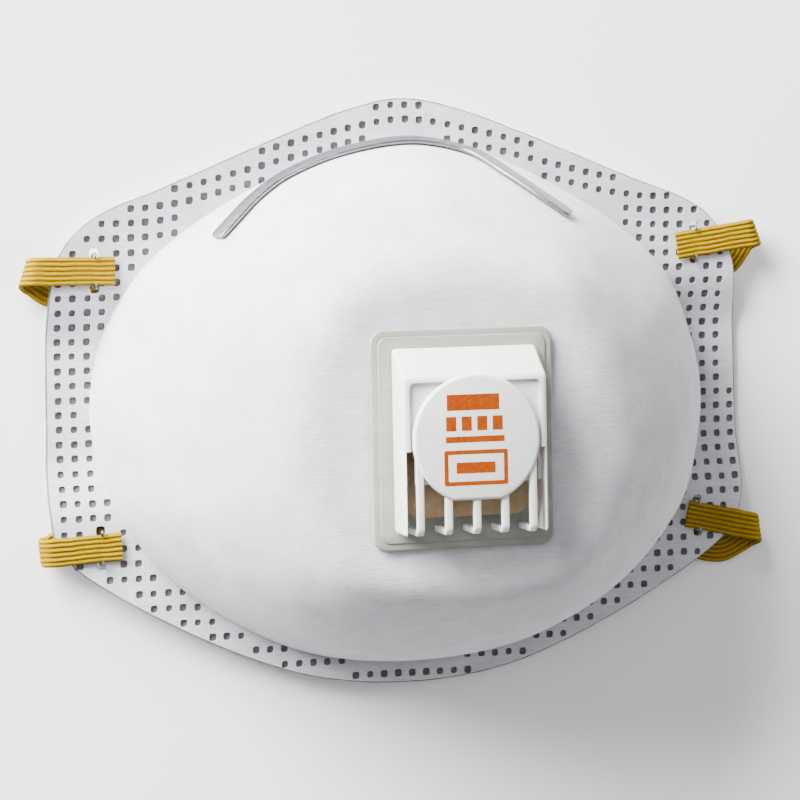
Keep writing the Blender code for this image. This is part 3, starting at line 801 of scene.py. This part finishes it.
def make_welded_edge(material):
    """The thin bead that closes the two webs along the rim's cut edge, in the bonded film's dark colour:
    painted shade along the edge and in the gap between the webs.
    """
    outline = rounded_rectangle((BEAD_WIDE, RIM_TOP - 0.1 * MM), BEAD_CORNER, steps=3)
    sections = []
    for j in range(AROUND):
        a = 2 * math.pi * j / AROUND
        r = rim_radius(a)
        outward = Vector((math.cos(a), math.sin(a), 0))
        c = on_rim(r * outward.x, r * outward.y) - Vector((0, 0, RIM_TOP / 2))
        wave = 1 + 0.25 * math.sin(23 * a) * math.sin(57 * a + 1)
        sections.append([c + outward * (BEAD_OUT + u * wave) + Vector((0, 0, v)) for u, v in outline])
    bead = new_object("rim_welded_edge", mesh_from("bead", *looped_rings(sections)))
    finish_piece(bead, material, "white_nonwoven", MASK)


# ---------------------------------------------------------------- nose clip and foam

# routes over the cup: degrees round it from +X, share of the wall from the crease to the valve's flat
CLIP_ROUTE = [(141, 0.2), (135.4, 0.167), (130, 0.123), (125, 0.088), (121, 0.068), (117, 0.063),
              (109, 0.063), (99, 0.065), (88, 0.07), (80, 0.092), (75.5, 0.125), (72.5, 0.18),
              (70, 0.235), (66, 0.285), (60, 0.343), (53.3, 0.386)]
CLIP_WIDE, CLIP_THICK = 3.7 * MM, 0.8 * MM
FOAM_ROUTE = [(138, 0.20), (120, 0.16), (105, 0.15), (90, 0.15), (75, 0.15), (60, 0.16), (42, 0.20)]
FOAM_WIDE, FOAM_THICK = 9.0 * MM, 3.2 * MM
FOAM_DEPTH = 5.0 * MM


def band_on_cup(name, route, depth, wide, thick, corner, steps, swell=0.0):
    """A rounded band that follows the cup, its outer face depth below the surface."""
    curve = through([(a, s * 100, 0) for a, s in route], steps)
    spots = [(math.radians(q.x), q.y / 100) for q in curve]
    normals = [cup_normal(a, s) for a, s in spots]
    centres = [cup_point(a, s) - n * (depth + thick / 2) for (a, s), n in zip(spots, normals)]
    sections = []
    last = len(centres) - 1
    for i, (c, n) in enumerate(zip(centres, normals)):
        along = centres[min(i + 1, last)] - centres[max(i - 1, 0)]
        side = n.cross(along).normalized()
        end = min(i, last - i)
        close = min(1.0, 0.72 + 0.28 * (1 - (1 - min(end / 4, 1.0))**2)**0.5)
        sections.append([c + side * (u * close) + n * (v * (1 + swell * math.sin(i * 0.9)))
                         for u, v in rounded_rectangle((wide, thick), corner, steps=4)])
    return new_object(name, mesh_from(name, *swept(sections)))


def make_nose_pieces(metal, foam):
    clip = band_on_cup("nose_clip_strip", CLIP_ROUTE, -GAP - CLIP_THICK, CLIP_WIDE, CLIP_THICK, 0.3 * MM, 12)
    finish_piece(clip, metal, "nose_metal", MASK, "nose_clip")
    pad = band_on_cup("nose_foam_pad", FOAM_ROUTE, FOAM_DEPTH, FOAM_WIDE, FOAM_THICK, 0.9 * MM, 12, 0.03)
    finish_piece(pad, foam, "foam", MASK, "nose_foam")


# ---------------------------------------------------------------- staples

STAPLE_TIP = 1.0 * MM  # how far each clenched tip reaches in over the band
STAPLE_BEND = 0.45 * MM
STAPLE_DIG = 0.12 * MM  # how far each tip is pressed down into the band


def tube(points, radius, sides=10):
    sections = []
    for i, p in enumerate(points):
        along = (points[min(i + 1, len(points) - 1)] - points[max(i - 1, 0)]).normalized()
        side = along.cross(Vector((1, 0, 0))).normalized()
        up = side.cross(along)
        sections.append([p + side * (radius * math.cos(2 * math.pi * k / sides))
                         + up * (radius * math.sin(2 * math.pi * k / sides)) for k in range(sides)])
    return swept(sections)


def make_staples(steel):
    """A staple at each strap end: crown under the rim, legs through the webs, tips clenched over the band."""
    for (strap, hand), end in STRAP_ENDS.items():
        row, x = end[0] * MM, hand * STAPLE_X
        name = f"staple_{strap.split('_')[0]}_{'left' if hand < 0 else 'right'}"
        low = min(rim_height(row - STAPLE_LEG_Y), rim_height(row + STAPLE_LEG_Y)) - GAP - STAPLE_WIRE / 2
        high = strap_top(row) + STRAP_THICK / 2 + GAP * 0.6 + STAPLE_WIRE / 2
        turns = [math.pi / 2 * k / 6 for k in range(7)]
        half = [(0.0, low)]
        half += [(STAPLE_LEG_Y - STAPLE_BEND * (1 - math.sin(a)), low + STAPLE_BEND * (1 - math.cos(a)))
                 for a in turns]
        half += [(STAPLE_LEG_Y - STAPLE_BEND * (1 - math.cos(a)), high - STAPLE_BEND * (1 - math.sin(a)))
                 for a in turns]
        half.append((STAPLE_LEG_Y - STAPLE_TIP, high - STAPLE_DIG))
        points = [Vector((x, row - y, z)) for y, z in half[:0:-1]]
        points += [Vector((x, row + y, z)) for y, z in half]
        piece = new_object(name + "_wire", mesh_from(name, *tube(points, STAPLE_WIRE / 2)))
        finish_piece(piece, steel, "staple_wire", MASK, name)


# ---------------------------------------------------------------- valve

COVER_SIZE, COVER_HIGH = (27.0 * MM, 33.6 * MM), 8.3 * MM
COVER_WALL = 1.1 * MM
SLOPE_RUN, SLOPE_FOOT = 5.0 * MM, 1.6 * MM
DISC_R, DISC_HIGH, DISC_Y = 11.9 * MM, 0.8 * MM, 0.5 * MM
DISC_FLAT = -11.0 * MM  # the straight lower edge of the disc, from its middle
RECESS_SIZE, RECESS_Y, RECESS_DEEP = (24.6 * MM, 29.2 * MM), VALVE_Y - 3.6 * MM, 0.7 * MM
RIB_PITCH, RIB_WIDE, RIB_THICK, RIB_COUNT = 5.3 * MM, 1.35 * MM, 1.15 * MM, 5
RIB_BEND, RIB_PROUD = 1.5 * MM, 0.25 * MM
SLOT_X, SLOT_TOP = (11.3 * MM, 13.1 * MM), -1.4 * MM  # a slot's sides and its nose end
SLOT_INSET = 0.03 * MM  # keeps a slot's side off the window's
WINDOW_TOP = -7.5 * MM  # where the open lower end of the cover begins, from the valve's middle
INK_THICK = 0.02 * MM
ORIFICE_R = 10.5 * MM
SEAL_RING_HIGH, SEAL_RING_WIDE = 1.0 * MM, 1.0 * MM
ORIFICE_RIB = 1.2 * MM
SEAT_EDGE = 1.3 * MM  # the width of the flange's lower, outer edge
CLAMP_SPAN = (1.6 * MM, 3.6 * MM)  # the clamp bar's sides, from the orifice's edge
SEAT_LOW = CUP_HEIGHT + GAP
SEAT_TOP = SEAT_LOW + SEAT_THICK
COVER_LOW = SEAT_TOP + GAP
COVER_TOP = COVER_LOW + COVER_HIGH
FLAP_SIZE, FLAP_THICK, FLAP_CORNER = (23.5 * MM, 28.0 * MM), 0.6 * MM, 3.0 * MM


def make_seat(plastic):
    seat = prism("valve_weld_flange", rounded_rectangle(SEAT_SIZE, SEAT_CORNER, (0, VALVE_Y)), SEAT_LOW,
                 SEAT_TOP - 0.25 * MM)
    bevelled(seat, 0.35 * MM)
    inner = (SEAT_SIZE[0] - 2 * SEAT_EDGE, SEAT_SIZE[1] - 2 * SEAT_EDGE)
    step = prism("seat_step", rounded_rectangle(inner, SEAT_CORNER - 0.6 * MM, (0, VALVE_Y)),
                 SEAT_LOW + 0.2 * MM, SEAT_TOP)
    bevelled(step, 0.2 * MM)
    boolean(seat, step, "UNION")
    ring_top = SEAT_TOP + SEAL_RING_HIGH
    ring = prism("seal_ring", circle(ORIFICE_R + SEAL_RING_WIDE, (0, VALVE_Y)), SEAT_TOP - 0.5 * MM, ring_top)
    boolean(seat, bevelled(ring, 0.25 * MM), "UNION")
    clamp = box_of("clamp_bar", (-FLAP_SIZE[0] / 2, FLAP_SIZE[0] / 2),
                   [VALVE_Y + ORIFICE_R + side for side in CLAMP_SPAN], (SEAT_TOP - 0.5 * MM, ring_top))
    boolean(seat, clamp, "UNION")
    bore = prism("orifice", circle(ORIFICE_R, (0, VALVE_Y)), SEAT_LOW - MM, ring_top + MM)
    boolean(seat, bore, "DIFFERENCE")
    reach = ORIFICE_R + 0.4 * MM
    for name, half_x, half_y in (("across", reach, ORIFICE_RIB / 2), ("along", ORIFICE_RIB / 2, reach)):
        rib = box_of("rib_" + name, (-half_x, half_x), (VALVE_Y - half_y, VALVE_Y + half_y),
                     (SEAT_LOW, ring_top - 0.2 * MM))
        boolean(seat, rib, "UNION")
    soften(seat.data, math.radians(35))
    finish_piece(seat, plastic, "seat_plastic", MASK, "valve_seat")


def cover_profile(inset):
    """The cover's side outline as (y, z) points: an upright lower end and a long slope at the nose end."""
    low, high = VALVE_Y - COVER_SIZE[1] / 2, VALVE_Y + COVER_SIZE[1] / 2
    foot = COVER_LOW - (MM if inset else 0)
    return [(low + inset, foot), (low + inset, COVER_TOP - inset),
            (high - SLOPE_RUN - inset * 0.6, COVER_TOP - inset),
            (high - inset, COVER_LOW + SLOPE_FOOT - inset), (high - inset, foot)]


def make_cover(plastic):
    half = COVER_SIZE[0] / 2
    bottom = VALVE_Y - COVER_SIZE[1] / 2
    cover = prism("valve_cover_shell", cover_profile(0.0), -half, half, "X")
    bevelled(cover, 0.7 * MM, 4)
    cavity = prism("cavity", cover_profile(COVER_WALL), -half + COVER_WALL, half - COVER_WALL, "X")
    boolean(cover, cavity, "DIFFERENCE")
    window = box_of("window", (-SLOT_X[1], SLOT_X[1]), (bottom - MM, VALVE_Y + WINDOW_TOP),
                    (COVER_LOW - MM, COVER_TOP + MM))
    boolean(cover, window, "DIFFERENCE")
    for hand in (-1, 1):
        sides = sorted((hand * SLOT_X[0], hand * (SLOT_X[1] - SLOT_INSET)))
        slot = box_of("slot", sides, (VALVE_Y + WINDOW_TOP - MM, VALVE_Y + SLOT_TOP),
                      (COVER_TOP - 3 * MM, COVER_TOP + 3 * MM))
        boolean(cover, slot, "DIFFERENCE")
    recess = prism("recess", rounded_rectangle(RECESS_SIZE, MM, (0, RECESS_Y), 4),
                   COVER_TOP - RECESS_DEEP, COVER_TOP + MM)
    boolean(cover, recess, "DIFFERENCE")
    disc_y = VALVE_Y + DISC_Y
    disc_outline = [(x, max(y, disc_y + DISC_FLAT)) for x, y in circle(DISC_R, (0, disc_y), 96)]
    disc = prism("disc", disc_outline, COVER_TOP - COVER_WALL, COVER_TOP + DISC_HIGH)
    boolean(cover, bevelled(disc, 0.65 * MM, 4), "UNION")
    for k in range(RIB_COUNT):
        x = (k - (RIB_COUNT - 1) / 2) * RIB_PITCH
        start = WINDOW_TOP + 1.5 * MM if 0 < k < RIB_COUNT - 1 else SLOT_TOP - 0.4 * MM
        boolean(cover, make_rib(x, VALVE_Y + start, bottom), "UNION")
    soften(cover.data, math.radians(35))
    finish_piece(cover, plastic, "cover_plastic", MASK, "valve_cover")


def make_rib(x, start, bottom):
    """One rib: from start in the plate to the lower end, round the corner and down to the cover's foot."""
    thick, bend = RIB_THICK, RIB_BEND
    top = COVER_TOP + RIB_PROUD
    outer = [(start, top)]
    inner = [(start, top - thick)]
    for k in range(9):
        a = math.pi / 2 * k / 8
        y0, z0 = bottom + bend, top - bend
        outer.append((y0 - bend * math.sin(a), z0 + bend * math.cos(a)))
        inner.append((y0 - (bend - thick) * math.sin(a), z0 + (bend - thick) * math.cos(a)))
    outer.append((bottom, COVER_LOW + 0.2 * MM))
    inner.append((bottom + thick, COVER_LOW + 0.2 * MM))
    rib = prism("rib", outer + inner[::-1], x - RIB_WIDE / 2, x + RIB_WIDE / 2, "X")
    return bevelled(rib, 0.22 * MM, 2)


def make_flap(rubber):
    """A thin flat flap with round corners, its nose end lying on the clamp bar."""
    seal_top = SEAT_TOP + SEAL_RING_HIGH
    low = seal_top + GAP
    middle_y = VALVE_Y + ORIFICE_R + 3.4 * MM - FLAP_SIZE[1] / 2
    outline = rounded_rectangle(FLAP_SIZE, FLAP_CORNER, (0, middle_y), 6)
    rows, columns = 26, 20
    lo_x, lo_y = -FLAP_SIZE[0] / 2, middle_y - FLAP_SIZE[1] / 2
    grid = bmesh.new()
    for z in (low, low + FLAP_THICK):
        for j in range(rows + 1):
            for i in range(columns + 1):
                x, y = lo_x + FLAP_SIZE[0] * i / columns, lo_y + FLAP_SIZE[1] * j / rows
                grid.verts.new(round_corner(x, y, middle_y, z))
    grid.verts.ensure_lookup_table()
    width, layer = columns + 1, (columns + 1) * (rows + 1)
    for level in (0, 1):
        for j in range(rows):
            for i in range(columns):
                a = level * layer + j * width + i
                quad = [a, a + 1, a + 1 + width, a + width]
                grid.faces.new([grid.verts[k] for k in (quad if level else quad[::-1])])
    border = [*range(columns)]
    border += [columns + j * width for j in range(rows)]
    border += [rows * width + columns - i for i in range(columns)]
    border += [(rows - j) * width for j in range(rows)]
    for k, a in enumerate(border):
        b = border[(k + 1) % len(border)]
        grid.faces.new([grid.verts[n] for n in (a, b, b + layer, a + layer)])
    bmesh.ops.recalc_face_normals(grid, faces=grid.faces)
    mesh = bpy.data.meshes.new("valve_flap_sheet")
    grid.to_mesh(mesh)
    grid.free()
    soften(mesh)
    flap = new_object("valve_flap_sheet", mesh)
    flap.data.materials.append(rubber)
    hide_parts("valve_flap")
    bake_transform(flap)


def round_corner(x, y, middle_y, z):
    """Pulls a square flap's grid point in so that the flap has round corners."""
    hx, hy = FLAP_SIZE[0] / 2 - FLAP_CORNER, FLAP_SIZE[1] / 2 - FLAP_CORNER
    dx, dy = max(abs(x) - hx, 0), max(abs(y - middle_y) - hy, 0)
    if dx > 0 and dy > 0:
        scale = max(dx, dy) / math.hypot(dx, dy)
        dx, dy = dx * scale, dy * scale
    sx, sy = math.copysign(1, x), math.copysign(1, y - middle_y)
    x = sx * (min(abs(x), hx) + dx)
    y = middle_y + sy * (min(abs(y - middle_y), hy) + dy)
    return (x, y, z)


def make_print(ink):
    """Generic printed marks on the disc: bars, a row of blocks and a framed bar, and no lettering."""
    x0, y0 = -0.5 * MM, VALVE_Y + DISC_Y
    span = (COVER_TOP + DISC_HIGH - 0.1 * MM, COVER_TOP + DISC_HIGH + INK_THICK)

    def bar(x, y):
        return box_of("bar", [x0 + u * MM for u in x], [y0 + v * MM for v in y], span)

    marks = [bar((-5.1, 4.7), (5.3, 8.2))]
    marks += [bar((-5.3 + 2.9 * k, -3.4 + 2.9 * k), (1.6, 4.2)) for k in range(4)]
    marks += [bar((-5.4, 5.6), (-0.5, 0.6))]
    middle = (x0 + 0.2 * MM, y0 - 5.1 * MM)
    frame_mark = prism("frame", rounded_rectangle((11.9 * MM, 6.4 * MM), 0.3 * MM, middle, 3), *span)
    inside = prism("inside", rounded_rectangle((10.4 * MM, 4.9 * MM), 0.2 * MM, middle, 3),
                   span[0] - MM, span[1] + MM)
    boolean(frame_mark, inside, "DIFFERENCE")
    soften(frame_mark.data)
    marks += [frame_mark, bar((-3.5, 3.8), (-6.1, -4.1))]
    for k, mark in enumerate(marks):
        mark.name = f"printed_mark_{k}"
        finish_piece(mark, ink, "cover_plastic", MASK)


# ---------------------------------------------------------------- floor and light


FLOOR_HALF, FLOOR_Z = 3.0, -0.2 * MM
WORLD_COLOUR, WORLD_STRENGTH = (0.94, 0.93, 1.0, 1), 0.22
LIGHTS = {  # place, size and power
    "key": ((-0.74, 0.73, 0.33), 0.8, 134.0),
    "fill": ((0.95, -0.1, 0.35), 0.8, 5.0),
    "top": ((-0.3, 0.3, 1.1), 1.0, 5.0),
}


def make_stage():
    corners = [(x * FLOOR_HALF, y * FLOOR_HALF, 0) for x, y in ((-1, -1), (1, -1), (1, 1), (-1, 1))]
    floor = new_object("floor", mesh_from("floor", corners, [(0, 1, 2, 3)]))
    floor.location.z = FLOOR_Z
    floor.data.materials.append(make_floor_material())
    world = bpy.data.worlds.new("studio")
    bpy.context.scene.world = world
    world.use_nodes = True
    background = world.node_tree.nodes["Background"]
    background.inputs["Color"].default_value = WORLD_COLOUR
    background.inputs["Strength"].default_value = WORLD_STRENGTH
    for name, (place, size, power) in LIGHTS.items():
        data = bpy.data.lights.new(name, "AREA")
        data.size = size
        data.energy = power
        light = bpy.data.objects.new(name, data)
        bpy.context.scene.collection.objects.link(light)
        light.location = place
        light.rotation_euler = Vector(place).to_track_quat("Z", "Y").to_euler()


def dress_hidden_nodes():
    for node, low, high in (("filter_media", (0.80, 0.80, 0.82), (0.9, 0.9, 0.92)),
                            ("moulded_shell", (0.74, 0.74, 0.74), (0.86, 0.86, 0.85))):
        obj = bpy.data.objects[node]
        obj.data.materials.clear()
        obj.data.materials.append(make_web_material(node + "_web", low, high))


def main():
    make_camera()
    elastic = make_elastic()
    for name in ("upper_strap", "lower_strap"):
        make_strap(name, elastic)
    outer_cloth = make_web_material("outer_nonwoven", (0.42, 0.42, 0.45), (0.60, 0.60, 0.625))
    inner_cloth = make_web_material("inner_nonwoven", (0.70, 0.70, 0.72), (0.85, 0.85, 0.87))
    make_webs(outer_cloth, inner_cloth, make_bonded_shade_material())
    dress_hidden_nodes()
    make_nose_pieces(make_aluminium(), make_foam_material())
    make_staples(make_steel())
    make_seat(make_plastic("seat_polypropylene", (0.23, 0.25, 0.21), (0.28, 0.30, 0.26), 0.34, 0.1))
    make_cover(make_plastic("cover_polypropylene", (0.62, 0.62, 0.59), (0.68, 0.68, 0.66), 0.36, 0.1))
    make_flap(make_rubber())
    make_print(make_ink())
    make_stage()


main()
